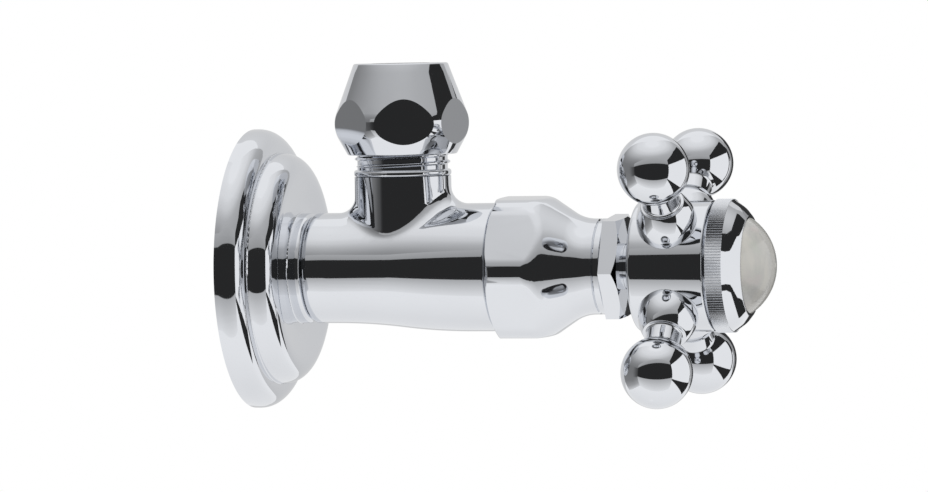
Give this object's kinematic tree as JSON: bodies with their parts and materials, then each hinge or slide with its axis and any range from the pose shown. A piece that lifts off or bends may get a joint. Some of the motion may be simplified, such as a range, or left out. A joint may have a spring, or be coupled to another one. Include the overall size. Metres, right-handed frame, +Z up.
{
  "type": "angle valve",
  "caption": "Chrome angle valve with a stepped wall flange, an upright compression outlet and a cross handle with ball ends and a pearl dome.",
  "frame": {"origin": "on the inlet's axis, in the plane of the wall that the flange rests on", "axes": "+X along the valve's axis from the wall to the handle, +Z up along the outlet"},
  "size_m": [0.0966, 0.049, 0.0602],
  "materials": {
    "chrome": "polished chrome plate on brass",
    "brass": "turned brass",
    "rubber": "moulded rubber",
    "fibre": "vulcanised fibre",
    "packing": "pressed packing",
    "steel": "stainless steel",
    "pearl": "polished pearl"
  },
  "bodies": {
    "valve": {"wall_flange": "chrome", "valve_body": "chrome", "compression_ring": "brass", "compression_nut": "chrome", "bonnet": "chrome", "bonnet_gasket": "fibre", "packing_washer": "brass", "stem_packing": "packing", "gland_nut": "chrome"},
    "disc": {"valve_disc": "brass", "seat_washer": "rubber", "washer_screw": "brass"},
    "handle": {"spindle": "chrome", "handle_hub": "chrome", "handle_screw": "steel", "screw_washer": "steel", "index_ring": "chrome", "index_washer": "rubber", "index_dome": "pearl", "handle_arm_1": "chrome", "handle_arm_2": "chrome", "handle_arm_3": "chrome", "handle_arm_4": "chrome"}
  },
  "joints": [
    {"name": "disc_lift", "type": "slide", "parent": "valve", "child": "disc", "axis": [1, 0, 0], "range_m": [0, 0.00376]},
    {"name": "handle_turn", "type": "hinge", "parent": "disc", "child": "handle", "pos_m": [0.0756, 0, 0], "axis": [1, 0, 0], "range_deg": [0, 900]}
  ],
  "couplings": [
    {"joint": "disc_lift", "follows": "handle_turn", "m_per_rad": 0.00023873}
  ]
}
